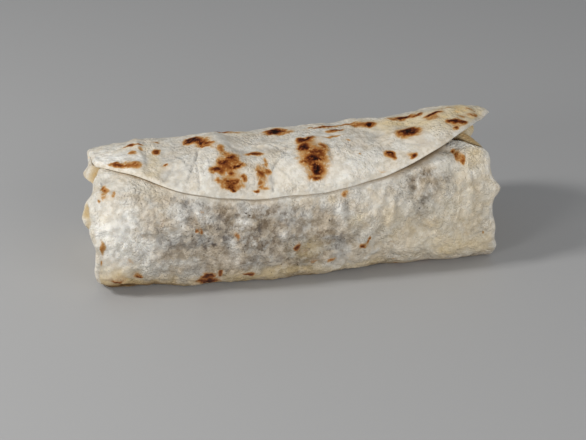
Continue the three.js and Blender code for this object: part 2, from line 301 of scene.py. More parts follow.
FRONT_MARKS = [
    (-93.2, 27.5, 1.4, 2.8, -18, 0.55),
    (-94.4, 32.4, 1.1, 1.6, -10, 0.34),
    (-97, 35.4, 1.1, 1, 0, 0.4),
    (-93.8, 29.5, 2.6, 4.8, -18, 0.11),
    (-89, 30.8, 0.9, 1.5, 0, 0.5),
    (-96.8, 58, 1, 3.8, -4, 0.4),
    (-98.6, 66, 1.3, 2, 0, 0.62),
    (-80, 75.5, 2.4, 1.2, 0, 0.74),
    (-91.6, 77.8, 3, 1.3, 0, 0.8),
    (-90, 75, 7.5, 4.5, 0, 0.1),
    (-46, 78.6, 3, 1.6, 0, 0.92),
    (-46.5, 83.2, 4.8, 2.4, 0, 1.02),
    (-39.6, 77, 1.1, 1, 0, 0.76),
    (-26, 79, 2.3, 0.8, 0, 0.86),
    (-51.4, 51, 0.8, 0.8, 0, 0.6),
    (-48.7, 51.3, 0.8, 0.9, 0, 0.66),
    (-50, 51.2, 3.2, 1.8, 0, 0.1),
    (-67.6, 47, 1.5, 1.4, 0, 0.12),
    (-61.5, 48.5, 1.6, 0.9, 0, 0.14),
    (-77, 52, 2, 1.3, 0, 0.15),
    (-84.3, 65, 1.7, 1.6, 0, 0.18),
    (-78.5, 66, 1.4, 2.4, 0, 0.09),
    (-47.5, 42.5, 1.7, 1, -20, 0.2),
    (-32, 55.2, 0.9, 1.6, 0, 0.42),
    (-1.3, 64.5, 0.9, 1.6, 0, 0.78),
    (-1.5, 63.5, 2.2, 3.6, 0, 0.12),
    (2.2, 67.6, 1.6, 1.3, 0, 0.14),
    (22.8, 37.8, 1.5, 2.6, 15, 0.9),
    (36.5, 43, 1.3, 1.6, 0, 0.1),
    (33, 45.6, 1.6, 1.4, 20, 0.14),
    (80.6, 22.4, 1.3, 1.7, 15, 0.62),
    (83.9, 28.4, 1.2, 1.8, 15, 0.5),
    (82.4, 25.2, 1.1, 1.6, 15, 0.42),
    (82.5, 25.5, 2.6, 4.2, 20, 0.16),
    (34.2, 63.4, 0.7, 2.2, 8, 0.6),
    (31.1, 66.8, 1.1, 1.2, 0, 0.72),
    (32.6, 65.6, 2, 1.6, 0, 0.2),
    (15.4, 73.4, 2.2, 0.9, 0, 0.56),
    (7, 74.6, 2.2, 0.8, 0, 0.26),
    (46.5, 66, 2.4, 0.9, 0, 0.16),
    (42.6, 75.6, 0.7, 0.7, 0, 0.52),
    (49, 80, 1.8, 0.9, 0, 0.26),
    (93, 37, 0.6, 0.6, 0, 0.5),
    (95.5, 67, 0.6, 1.3, 0, 0.42),
    (101.5, 70.5, 0.8, 1.8, 0, 0.62),
]
# Each patch where the filling shows through: x, way, half length, half width, depth
FILLING_PATCHES = [
    (-44, 48, 22, 12, 0.3),
    (-34, 66, 26, 12, 0.35),
    (-16, 56, 13, 12, 0.35),
    (-50, 79, 30, 5, 0.35),
    (-74, 32, 12, 6, 0.2),
    (-52, 37.5, 5, 3, 0.45),
    (-55, 45, 3, 4, 0.42),
    (-46.3, 57.6, 2.8, 2.3, 1),
    (-47, 58, 8, 4.5, 0.7),
    (-45.5, 58.6, 4, 3, 0.9),
    (-62.5, 56.3, 4.5, 2.2, 0.5),
    (-62, 61, 9, 5, 0.32),
    (-77.5, 43, 2.6, 3, 0.3),
    (-92, 60, 1.8, 3, 0.28),
    (-88, 76, 10, 5, 0.55),
    (-58, 72, 8, 3, 0.3),
    (-36, 47, 6, 5, 0.36),
    (-12, 44, 9, 4, 0.35),
    (93, 48, 6, 15, 0.22),
    (-19.5, 49, 2.2, 2.6, 0.55),
    (-21, 60, 9, 7, 0.55),
    (-17, 62, 4.5, 5, 0.5),
    (-30, 74, 14, 4, 0.3),
    (1, 56, 5, 3, 0.34),
    (12.5, 50, 3, 4, 0.34),
    (4, 48, 16, 8, 0.45),
    (60, 33, 8, 3.8, 0.9),
    (60, 39, 9, 6, 0.4),
    (58, 35.6, 1.8, 2, 0.7),
    (73.6, 36.5, 2.4, 1.2, 1),
    (69, 36.2, 7, 3.6, 0.7),
    (57, 41, 3, 2.5, 0.5),
    (61, 46, 5.4, 7, 0.8),
    (65, 56, 5, 4, 0.3),
    (38, 56, 5, 5, 0.25),
    (84, 38, 4, 4, 0.22),
]
# Each patch where the dough is whiter because it lies thicker, with painted light on the left
# end: x, way, half length, half width, depth
FRONT_THICK_AND_LIT = [
    (-50.5, 43, 5, 3, 0.55),
    (-58, 44, 2, 5, 0.5),
    (-95, 52, 9, 12, 0.85),
    (-84, 53, 5, 8, 0.75),
    (-84, 40, 9, 5, 0.5),
    (-75, 59, 5, 4, 0.7),
    (-88, 67, 5, 3, 0.7),
    (-95, 72, 4, 4, 0.6),
    (-23, 42.5, 4, 2.4, 0.6),
    (-28, 48, 2.4, 3, 0.35),
    (-8.5, 57, 2.6, 4, 0.5),
    (-33, 64, 3.4, 6, 0.5),
    (20.5, 48, 2.2, 6, 0.7),
    (12, 43.5, 2, 2, 0.35),
    (60.6, 38, 1.1, 3, 0.9),
    (52.5, 47, 1.8, 6, 0.45),
    (73, 54, 3, 5, 0.5),
    (83.5, 47, 3, 4, 0.45),
    (36, 58, 1.8, 4, 0.35),
    (68, 28, 6, 1.6, 0.4),
    (88, 34, 3, 3, 0.4),
]
FLAP_THICK_AND_LIT = [
    (-92, 6, 14, 15, 1),
    (-76, 8, 4, 9, 0.35),
    (-46, 18, 8, 12, 0.4),
    (-40, -14, 14, 5, 0.4),
    (-4, 20, 4, 10, 0.35),
    (24, 26, 12, 8, 0.35),
    (46, -13, 9, 4, 0.4),
    (12, 33, 16, 3, 0.25),
    (-34, 36, 14, 2.6, 0.4),
    (70, 12, 6, 7, 0.25),
]
# Each patch that is thin, oiled and yellower, with painted shade along the front's foot and
# beside the left fold's ridge: x, way, half length, half width, depth
FRONT_WARM = [
    (-93, 79, 13, 8, 1),
    (-84, 84, 16, 5, 0.75),
    (-50, 86, 26, 5, 0.75),
    (-12, 82, 28, 5, 0.7),
    (3, 67, 8, 6, 0.5),
    (32, 84, 26, 5, 0.55),
    (79, 70, 9, 5, 0.35),
    (84, 76, 20, 6, 0.6),
    (91, 27, 4, 4, 0.4),
    (28, 52, 4, 3, 0.4),
    (16.5, 41, 2.4, 2.4, 0.35),
    (-70, 30, 7, 7, 0.28),
    (-96, 42.5, 4.5, 2.2, 0.25),
    (46, 56, 4, 8, 0.2),
    (66, 60, 34, 16, 0.3),
    (90, 44, 14, 16, 0.25),
]
FLAP_WARM = [
    (-69, 8, 3.2, 14, 0.5),
    (-72, 21, 4, 4, 0.4),
    (-78, -8, 7, 3, 0.3),
    (-24, -14, 9, 4, 0.45),
    (94, -2, 14, 14, 1),
    (76, 4, 16, 9, 0.75),
    (-8, 12, 3, 3, 0.15),
    (60, -5, 16, 7, 1),
    (40, -9, 9, 3, 0.4),
]
# Each patch of the flap that is dulled to grey: x, way, half length, half width, depth
FLAP_DULL = [
    (-62, 10, 14, 12, 0.3),
    (-46, 18, 14, 16, 0.3),
    (-30, 2, 14, 8, 0.3),
    (-56, -7, 2.4, 5, 0.5),
    (-9, 11, 5.5, 5, 0.45),
    (-52, 22, 3, 9, 0.28),
    (-60, 20, 5, 6, 0.22),
    (-12, 26, 1.6, 7, 0.3),
    (-12, -1, 12, 3, 0.22),
    (34, 6, 9, 6, 0.22),
    (40, 20, 6, 9, 0.18),
    (70, 17, 8, 5, 0.25),
    (-80, 4, 3, 5, 0.2),
]
# Each opening between an end's folds: side, y, z, half length, half width, turn in degrees, depth
END_OPENINGS = [
    (-1, -5, 54, 6, 3.2, 20, 1),
    (-1, -27, 46, 3.6, 2.2, 30, 0.9),
    (-1, -30, 36, 7.5, 1.6, 100, 0.5),
]
# Each crease: where it starts and ends as (x, way), how far it bows sideways, half width, depth
FLAP_CREASES = [
    ((-46, 2), (-55, 29), -1.5, 0.5, 0.8),
    ((-46, 5), (-47, 34), 1.5, 0.5, 0.7),
    ((-58, 6), (-50.5, 19), 0, 0.5, 0.7),
    ((-13, 3), (-3, 15), -1.5, 0.5, 0.7),
    ((-3, 15), (-12.5, 26), 1.5, 0.5, 0.8),
    ((-12.5, 25), (-13.5, 37), -1, 0.5, 0.7),
    ((-68, 26), (-59, 13), 1, 0.9, -0.7),
    ((20, 9), (19, 25), 1, 0.6, 0.5),
    ((-58, 32), (-44, 36), -1, 0.6, 0.5),
    ((-24, -4), (-12, 4), 1, 0.6, 0.7),
    ((28, 6), (52, 2), 2, 0.8, 0.4),
    ((-54, 12), (-49, 24), 1, 0.5, 0.5),
    ((-43, 8), (-41, 30), -1, 0.6, 0.4),
    ((-20, 33), (-13, 22), 1, 0.6, 0.5),
    ((-9, 22), (-1, 34), -1, 0.6, 0.35),
    ((0, 8), (-5, 17), 1, 0.6, 0.4),
    ((-96, 2), (-84, 6), 1, 0.9, 0.3),
    ((52, 12), (66, 20), 1.5, 0.8, 0.3),
]
FRONT_CREASES = [
    ((-50, 45.5), (-29, 43), -3.5, 0.8, 0.9),
    ((-87, 33), (-76, 28.5), 1, 0.8, 0.6),
    ((86, 67), (99.5, 57), 1, 0.8, 0.95),
    ((83, 62), (98, 52), 1.5, 0.8, 0.7),
    ((-84, 66), (-72, 58), 1, 0.9, 0.6),
    ((-70, 40), (-62, 62), 3, 0.9, 0.5),
    ((-92, 63), (-87, 54), 0.5, 1, 0.7),
    ((-66, 60), (-56, 57), 1.5, 0.9, 0.7),
    ((-80, 44), (-76, 50), 0, 0.8, 0.5),
    ((-40, 46), (-36, 58), 1, 0.8, 0.5),
    ((-30, 58), (-20, 66), 2, 0.8, 0.5),
    ((-18, 44), (-20, 56), 1, 0.8, 0.5),
    ((17, 43), (14, 58), -1, 0.9, 0.5),
    ((24, 41), (25, 56), 1, 0.9, 0.5),
    ((40, 46), (37, 64), -1.5, 0.9, 0.5),
    ((50, 40), (49, 60), 1.5, 0.9, 0.5),
    ((56, 38), (62, 52), -1.5, 0.9, 0.6),
    ((70, 42), (68, 60), 1.5, 0.9, 0.5),
    ((79, 38), (78, 58), -1, 0.9, 0.5),
    ((88, 30), (91, 46), 1, 0.9, 0.5),
    ((93, 34), (95, 50), -0.5, 0.8, 0.5),
]


# ---------------------------------------------------------------- plain curves
def mix(a, b, part):
    """A straight blend from a to b."""
    return a + (b - a) * part


def rise(a, b, value):
    """A smooth step: 3t^2 - 2t^3, with t running from 0 at a to 1 at b."""
    t = np.clip((value - a) / (b - a), 0, 1)
    return t * t * (3 - 2 * t)


def bell(value, middle, width):
    """A bell of height 1: e to the minus square of the distance from the middle in widths."""
    return np.exp(-(((value - middle) / width) ** 2))


def profile(value, slopes, humps=()):
    """A line that rises and falls: the sum of its slopes, as smooth steps, and of its humps, as
    bells."""
    total = sum(height * rise(start, full, value) for height, start, full in slopes)
    return total + sum(height * bell(value, middle, width) for height, middle, width in humps)


def unevenness(x, y, z, size, seed):
    """A smooth field of about -1 to 1: nine sine waves of about one length whose directions are
    spread over a sphere by the golden angle, summed and divided by 3."""
    total = 0
    for i in range(WAVES):
        tilt = 1 - (2 * (i + 0.5)) / WAVES
        flat = np.sqrt(1 - tilt * tilt)
        turn = GOLDEN_ANGLE * i + seed
        pace = TURN / size * (0.8 + 0.4 * ((i * 0.618 + seed * 0.37) % 1))
        along = x * flat * np.cos(turn) + y * flat * np.sin(turn) + z * tilt
        total = total + np.sin(pace * along + 1.7 * i * i + 3.1 * seed)
    return total / np.sqrt(WAVES)


def cobbles(u, v, size, seed):
    """Low domes with valleys between them, up to 0.35 high and about 0.6 deep: 0.35 less the squared
    distance, in cell widths, to the nearest of one randomly placed point in each square cell. The
    points repeat after a number of cells each way."""
    spots = np.random.default_rng(seed).random((CELLS, CELLS, 2))
    column, row = np.floor(u / size), np.floor(v / size)
    nearest = np.full(np.broadcast(u, v).shape, 4.0)
    for i in (-1, 0, 1):
        for j in (-1, 0, 1):
            spot = spots[(column + i).astype(int) % CELLS, (row + j).astype(int) % CELLS]
            across = column + i + spot[..., 0] - u / size
            along = row + j + spot[..., 1] - v / size
            nearest = np.minimum(nearest, across**2 + along**2)
    return 0.35 - nearest


def turned(along, across, turn):
    """The same offset seen along and across an ellipse that is turned by some degrees."""
    c, s = np.cos(np.radians(turn)), np.sin(np.radians(turn))
    return along * c + across * s, across * c - along * s


def wandering(x, way, reach, size, seed):
    """A place moved a little, along X and then along the way, so that what is drawn there has an
    uneven outline."""
    x = x + reach * unevenness(x, way, 0, size, seed)
    return x, way + reach * unevenness(x, way, 0, size, seed + 1)


# ---------------------------------------------------------------- the roll
def roll_radius(theta, x):
    """The plain roll's radius in the direction theta, 0 at the front and a quarter turn at the
    top: a superellipse whose upper half is rounder and whose lower half is squarer."""
    power = mix(LOWER_POWER, UPPER_POWER, rise(-0.5, 0.7, np.sin(theta)))
    top = HEIGHT + RISE_TO_RIGHT * x - AXIS_HEIGHT - LEFT_DROP * rise(-70, -103, x)
    lift = np.where(x < 0, END_LIFT_LEFT, END_LIFT_RIGHT)
    below = AXIS_HEIGHT + SQUASH - lift * rise(76, 101, np.abs(x))
    half = np.where(np.sin(theta) > 0, top, below)
    across = np.abs(np.cos(theta)) / (DEPTH / 2)
    return (across**power + (np.abs(np.sin(theta)) / half) ** power) ** (-1 / power)


def measure_section():
    """Directions round the middle section from its underside, and the arc length up to each."""
    theta = np.linspace(-TURN / 4, 0.75 * TURN, SECTION_SAMPLES)
    radius = roll_radius(theta, np.zeros_like(theta))
    steps = np.hypot(np.diff(radius * np.cos(theta)), np.diff(radius * np.sin(theta)))
    return theta, np.concatenate([[0], np.cumsum(steps)])


SECTION_THETA, SECTION_LENGTH = measure_section()
TO_TOP = np.interp(TURN / 4, SECTION_THETA, SECTION_LENGTH)


def angle_at(way):
    """The direction that lies a given arc length round from the top, positive to the front."""
    return np.interp(TO_TOP - way, SECTION_LENGTH, SECTION_THETA)


def way_at(theta):
    """The arc length round from the top at which a direction lies, positive to the front."""
    return TO_TOP - np.interp(from_below(theta), SECTION_THETA, SECTION_LENGTH)


def from_below(theta):
    """The same direction counted from a quarter turn below the front."""
    return np.where(theta > 0.75 * TURN, theta - TURN, theta)


def flap_edge(x):
    """How far round the flap's free edge lies: the circle of the tortilla's edge, drooping where
    the flap is loose, with small waves."""
    sag = TORTILLA_RADIUS - np.sqrt(TORTILLA_RADIUS**2 - x**2)
    waves = EDGE_WAVE * (np.sin(x / 7) + np.sin(x / 3.7 + 1))
    return FLAP_LOWEST - sag + profile(x, EDGE_SLOPES, EDGE_HUMPS) + waves


def flap_loose(x):
    """The width of the flap that is free of the layer under it."""
    return LOOSE_WIDTH + profile(x, LOOSE_SLOPES)


def flap_gap(x, looseness):
    """The gap under the flap: nothing where it touches, and widest at its free edge."""
    return FLAP_CLOSED * looseness**0.8 + profile(x, CURL_SLOPES) * looseness**1.5


def flap_thickness(x):
    """One sheet, and two where the left side is folded under, with a ridge at the fold's edge."""
    ridge = FOLD_RIDGE * bell(x, FOLD_STEP, 1.5)
    return SHEET + FOLDED_SIDE * rise(FOLD_STEP + 1.5, FOLD_STEP - 2.5, x) + ridge


def rim_shift(theta, x):
    """How far an end's rim is shifted along X: both step back where the flap lies over them, and
    folds stand out. It fades along the roll, away from the ends."""
    angle = np.degrees(theta)
    left = profile(angle, RIM_SLOPES_LEFT, RIM_HUMPS_LEFT) * rise(-60, -REACH_LEFT, x)
    right = profile(angle, RIM_SLOPES_RIGHT, RIM_HUMPS_RIGHT) * rise(72, REACH_RIGHT, x)
    return np.where(x < 0, left, right)


def overhang_at(station):
    """How far the loose flap reaches out past its station, at its free edge."""
    left = OVERHANG_LEFT * rise(-60, -REACH_LEFT, station)
    return OVERHANG_RIGHT * rise(60, REACH_RIGHT, station) - left


def crown(x):
    """How much the roll's ridge, behind its top, swells or sinks along its length."""
    return profile(x, CROWN_SLOPES, CROWN_HUMPS) - CROWN_SUNK


def hem(x):
    """How much the roll's lower front edge swells or sinks along its length."""
    return profile(x, HEM_SLOPES, HEM_HUMPS)


def on_roll(x, theta, height):
    """Points in the direction theta at a height above the plain roll, with the relief that every
    layer shares. The front bulges in the middle, and nothing lies below 0."""
    radius = roll_radius(theta, x)
    y, z = -radius * np.cos(theta), radius * np.sin(theta)
    relief = LUMP_HEIGHT * unevenness(x, y, z, LUMP_SIZE, 1)
    relief = relief + WRINKLE_HEIGHT * unevenness(x, y, z, WRINKLE_SIZE, 2)
    relief = relief + crown(x) * rise(0, 0.9, np.sin(theta)) * rise(0.45, -0.15, np.cos(theta))
    relief = relief + hem(x) * rise(-0.2, -0.6, np.sin(theta)) * rise(0, 0.4, np.cos(theta))
    reach = radius + height + relief
    end = (x / REACH_LEFT) ** 2
    at_end = np.where(x < 0, SET_BACK_LEFT, SET_BACK_RIGHT) * end * end
    set_back = at_end * rise(0.2, 1, np.cos(theta)) - FRONT_BULGE * (1 - end)
    up = np.maximum(0, AXIS_HEIGHT + reach * np.sin(theta))
    return np.stack([x + 0 * up, set_back - reach * np.cos(theta), up], axis=-1)


# ---------------------------------------------------------------- the outer face's fine relief
def crease_relief(x, way, creases):
    """Each crease: a groove whose section is a bell, with a lower swelling along its other side,
    following a line from its start to its end that bows sideways as 4t(1 - t)."""
    relief = 0
    for (x_start, way_start), (x_end, way_end), bow, width, depth in creases:
        run, climb = x_end - x_start, way_end - way_start
        length = np.hypot(run, climb)
        t = ((x - x_start) * run + (way - way_start) * climb) / length**2
        aside = ((way - way_start) * run - (x - x_start) * climb) / length
        aside = aside - bow * 4 * t * (1 - t)
        ends = rise(-0.02, 0.2, t) * rise(1.02, 0.8, t)
        section = 0.6 * bell(aside, 2.2 * width, 1.6 * width) - bell(aside, 0, width)
        relief = relief + depth * ends * section
    return relief


def marked(x, way, marks):
    """How browned a place is, 0 to about 1. Each mark is an ellipse turned on the sheet: a core
    that falls off as e to the minus cube of the distance, with a faint wide bell about it. The
    marks are joined as 1 less the product of what each one leaves."""
    x, way = wandering(x, way, MARK_WANDER, MARK_WANDER_SIZE, 21)
    left_over = np.ones(np.broadcast(x, way).shape)
    for x_mark, way_mark, half_length, half_width, turn, depth in marks:
        along, across = turned(x - x_mark, way - way_mark, turn)
        away = (along / half_length) ** 2 + (across / half_width) ** 2
        core = 0.8 * np.exp(-(away**1.5)) + 0.2 * np.exp(-0.35 * away)
        left_over = left_over * (1 - np.minimum(depth, 0.98) * core)
    return 1 - left_over


def scattered_marks():
    """Marks where neither given list reaches, on the back and the underside: seeded draws of
    a browned patch with smaller ones about it, as a griddle leaves where the sheet blisters."""
    draw = np.random.default_rng(11)
    marks = []
    for _ in range(24):
        x, way = draw.uniform(-92, 92), draw.uniform(-104, -26)
        size, depth = draw.uniform(1.6, 5.2), draw.uniform(0.45, 1.0)
        length, turn = size * draw.uniform(0.9, 1.6), draw.uniform(-30, 30)
        marks.append((x, way, length, size * 0.8, turn, depth))
        for _ in range(int(size)):
            dx, dway = draw.normal(0, 1.5 * size, 2)
            small = draw.uniform(1, 2.2)
            marks.append((x + dx, way + dway, small, small * 0.8, 0, draw.uniform(0.4, 0.8)))
    for _ in range(14):
        x, way = draw.uniform(-90, 90), draw.uniform(90, 106)
        marks.append((x, way, draw.uniform(1.5, 4), draw.uniform(1, 2.5), 0, draw.uniform(0.4, 0.8)))
    return marks


SCATTERED_MARKS = scattered_marks()


def browning(x, way, on_flap):
    """How browned the outer face is: the flap's marks on the flap, and the front's on the front.
    The scattered ones lie beyond both."""
    flap = marked(x, way, FLAP_MARKS + SCATTERED_MARKS)
    front = marked(x, way, FRONT_MARKS + SCATTERED_MARKS)
    return np.where(on_flap, flap, front)


def creases_at(x, way, on_flap, flap_share=1.0, front_share=1.0):
    """The creases' relief, the flap's on the flap and the front's on the front, each by a share."""
    flap = flap_share * crease_relief(x, way, FLAP_CREASES)
    front = front_share * crease_relief(x, way, FRONT_CREASES)
    return np.where(on_flap, flap, front)


def crease_shade(x, way, on_flap):
    """The painted shade in the creases' grooves, and the painted shadow line at the foot of the step
    where the left side is folded.
    """
    foot = np.where(on_flap, 0.55 * bell(x, FOLD_STEP + 2.6, 0.9), 0)
    return np.clip(foot - creases_at(x, way, on_flap, 1.1, 0.8), 0, 0.8)


def texture(x, way, on_flap):
    """The sheet's own unevenness in millimetres: lumps of filling with finer ones between them, and
    pebbling. It is lower on the flap, which lies on another layer."""
    u = x + SIDEWAYS * unevenness(x, way, 0, SIDEWAYS_SIZE, 23)
    v = way + SIDEWAYS * unevenness(x, way, 0, SIDEWAYS_SIZE, 24)
    lumps = BIG_LUMP_HEIGHT * cobbles(u, v, BIG_LUMP, 3)
    lumps = lumps + SMALL_LUMP_HEIGHT * cobbles(u + 3, v * 1.2, SMALL_LUMP, 4)
    pebbles = PEBBLE_HEIGHT * cobbles(u, v * 1.15, PEBBLE, 5)
    calm = (1 - 0.6 * bell(way, 92, 8)) * (1 + 0.4 * bell(x, -58, 28))
    return lumps * np.where(on_flap, FLAP_LUMPS, calm) + pebbles * np.where(on_flap, FLAP_PEBBLES, calm)


def fine_relief(x, way, on_flap, browned):
    """The outer face's own relief in millimetres: its texture, uneven folds down the right of the
    front, pinched wrinkles at the ends, creases, blistered marks, and the step at the right where
    the front layer ends under the loose flap and the one within it shows."""
    folds = unevenness(x, 0.4 * way, 0, 7, 6) + 0.9 * unevenness(x, 0.7 * way, 0, 3.4, 16)
    folds = FOLD_HEIGHT * folds * rise(16, 44, x) * rise(104, 92, x)
    folds = folds * np.where(on_flap, 0.2, rise(80, 62, way) * rise(28, 42, way))
    pinch = unevenness(0.35 * x, way, 0, 9, 7) + 0.5 * unevenness(0.4 * x, way, 0, 4.5, 17)
    pinch = PINCH_HEIGHT * pinch * rise(74, 97, np.abs(x))
    blisters = browned * (0.2 + BLISTER_HEIGHT * cobbles(x, way, BLISTER, 8))
    step = -TUCK_DROP * np.where(on_flap, 0, tucked(x, way))
    return texture(x, way, on_flap) + folds + pinch + creases_at(x, way, on_flap) + blisters + step


def beyond_tuck(x, way):
    """How far a place lies past the line along which the right end's front layer ends, and how much
    of that end it is on."""
    line = TUCK_WAY + TUCK_SLOPE * (x - TUCK_START)
    return way - line, rise(TUCK_START - 2, TUCK_START + 2, x)


def tucked(x, way):
    """Where the right end's inner layer shows: above the line along which the front layer ends."""
    beyond, there = beyond_tuck(x, way)
    return there * rise(0.7, -0.7, beyond)


def tuck_line(x, way):
    """The painted shade line just above where the front layer ends."""
    beyond, there = beyond_tuck(x, way)
    return there * rise(-5.5, -3.2, beyond) * rise(0.4, -0.4, beyond)


# ---------------------------------------------------------------- what the finish follows
FIELDS = ("toast", "filling", "thick_and_lit", "warm", "dull_and_crease_shade", "hollow_shade", "coarse", "inside")


def patched(x, way, patches):
    """Bells at the patches, joined as 1 less the product of what each one leaves. Their outlines
    wander by a millimetre or two."""
    x, way = wandering(x, way, PATCH_WANDER, PATCH_WANDER_SIZE, 31)
    left_over = np.ones(np.broadcast(x, way).shape)
    for x_patch, way_patch, half_length, half_width, depth in patches:
        away = ((x - x_patch) / half_length) ** 2 + ((way - way_patch) / half_width) ** 2
        left_over = left_over * (1 - depth * np.exp(-away))
    return 1 - left_over


def patch_fields(x, way, on_flap):
    """How far the filling shows through, how white the dough is where it lies thicker, with painted
    light on the left end, how thin and yellow, with painted shade along the front's foot and beside
    the left fold's ridge and a painted glow where the right end's inner layer shows, how grey, with
    painted shade in the creases, and how coarse its grain. On the back and the underside, slow waves
    stand in for the patches."""

    def either(flap_patches, front_patches):
        return np.where(on_flap, patched(x, way, flap_patches), patched(x, way, front_patches))

    back, below = rise(-14, -34, way), rise(84, 94, way)
    elsewhere = 0.3 * (1 + unevenness(x, way, 0, 26, 41)) * np.maximum(back, below)
    sheer = 0.6 * bell(x, -18, 66) * (1 + 0.5 * unevenness(x, way, 0, 34, 12)) * rise(24, 40, way)
    through = 1 - (1 - patched(x, way, FILLING_PATCHES)) * (1 - sheer) + elsewhere
    # The right end's inner layer is yellowest: a painted glow of light through the sheet.
    inner = np.where(on_flap, 0, tucked(x, way))
    dulled = np.where(on_flap, patched(x, way, FLAP_DULL), 0)
    thick_back = 0.5 * back * rise(0, 1, unevenness(x, way, 0, 30, 42))
    grain = np.where(on_flap, 0.14 + 0.1 * rise(-80, -60, x), 0.16 + 0.28 * rise(-96, -74, x))
    return {
        "filling": np.clip(np.where(on_flap, 0.6 * elsewhere, through), 0, 1),
        "thick_and_lit": np.maximum(either(FLAP_THICK_AND_LIT, FRONT_THICK_AND_LIT), thick_back),
        "warm": np.clip(either(FLAP_WARM, FRONT_WARM) + inner + 0.5 * elsewhere, 0, 1),
        "dull_and_crease_shade": np.maximum(dulled, crease_shade(x, way, on_flap)),
        "coarse": grain + 0.16 * unevenness(x, way, 0, 17, 43),
    }


def end_openings(side, y, z):
    """How deep in a fold's opening a place on an end is: ellipses with soft rims, turned on it."""
    depth_there = np.zeros_like(y)
    for at_side, y_middle, z_middle, half_length, half_width, turn, depth in END_OPENINGS:
        if at_side == side:
            along, across = turned(y - y_middle, z - z_middle, turn)
            away = np.hypot(along / half_length, across / half_width)
            depth_there = np.maximum(depth_there, depth * rise(1.5, 0.6, away))
    return depth_there


def end_fields(side, theta, y, z, inward):
    """The same fields on an end: yellower inwards, and yellowest, a painted glow of light through the
    sheet, where the right end's inner layer shows at its rim, with a painted shade line where the
    front layer ends. The folds' openings take painted shade, yellow and dark."""
    angle = np.degrees(theta)
    openings = end_openings(side, y, z)
    warm = 0.45 * rise(0.12, 0.4, inward)
    dark = 0.55 * openings
    if side > 0:
        inner = rise(55, 60, angle) * rise(125, 110, angle) * rise(0.5, 0.15, inward)
        warm = np.maximum(warm, inner)
        dark = np.maximum(dark, bell(angle, 67, 2) * rise(0.45, 0.2, inward))
    return {"warm": np.clip(warm + openings, 0, 1), "inside": dark, "coarse": 0.35 + 0 * inward}


# ---------------------------------------------------------------- the surface's grid
def station_places():
    """Stations along X: an even part of the length, eased so that they lie closer at the ends."""
    part = np.linspace(-1, 1, STATIONS + 1)
    eased = 0.75 * part + 0.25 * np.sin(part * TURN / 4)
    return eased * np.where(eased < 0, REACH_LEFT - RIM, REACH_RIGHT - RIM)


def round_shares():
    """Shares of the round from 0 to 1, in steps that are longer on the underside."""
    fine = np.linspace(0, 1, SHARE_SAMPLES)
    density = 1 - 0.45 * bell(fine, 0.62, 0.12)
    passed = np.concatenate([[0], np.cumsum((density[1:] + density[:-1]) / 2)])
    return np.interp(np.arange(ROUND_STEPS) / ROUND_STEPS, passed / passed[-1], fine)


def directions_round(edge, touch):
    """The body's directions at each station: from where the flap touches, over the back, the
    underside and the front, and on under the flap to the same place one layer further in. They
    keep still from station to station except near the flap, whose edges they follow."""
    usual_edge, usual_touch = angle_at(flap_edge(0)), angle_at(flap_edge(0) - flap_loose(0))
    share = round_shares()
    usual = mix(usual_touch, usual_edge + TURN, share)
    follow = (touch - usual_touch) * rise(0.45, 0, share) + (edge - usual_edge) * rise(0.6, 1, share)
    under_flap = TURN + mix(edge, touch, np.arange(FLAP_STEPS + 1) / FLAP_STEPS)
    return np.concatenate([usual + follow, under_flap], axis=1)


def raised(x, theta, height, shown, on_flap):
    """Points on the roll with the fine relief added by the share that each is shown, and the
    fields that the finish follows there."""
    way = way_at(theta)
    browned = browning(x, way, on_flap) * np.minimum(1, 2 * shown)
    relief = shown * fine_relief(x, way, on_flap, browned)
    fields = {"toast": browned, **patch_fields(x, way, on_flap)}
    # Painted shade in the relief's hollows.
    fields["hollow_shade"] = rise(0.35, -0.75, texture(x, way, on_flap) * np.where(on_flap, 1.5, 1))
    return on_roll(x, theta, height + relief), {name: value * shown for name, value in fields.items()}


def shadow_lines(x, station, way, below_edge):
    """How little light reaches the body: under the flap, in the line beside its free edge, along
    the tuck at the right, and at the foot of the front, where the left corner is darkest."""
    covered = rise(1, -1.5, below_edge)
    width = EDGE_SHADE + profile(station, EDGE_SHADE_SLOPES)
    beside = 0.75 * bell(below_edge, 0, width) * rise(-2, 0, below_edge)
    corner = rise(-50, -90, station)
    foot = (0.55 + 0.4 * corner) * bell(way, 93 - 8 * corner, 8 - 3 * corner)
    return np.maximum.reduce([covered, beside, tuck_line(x, way), foot])


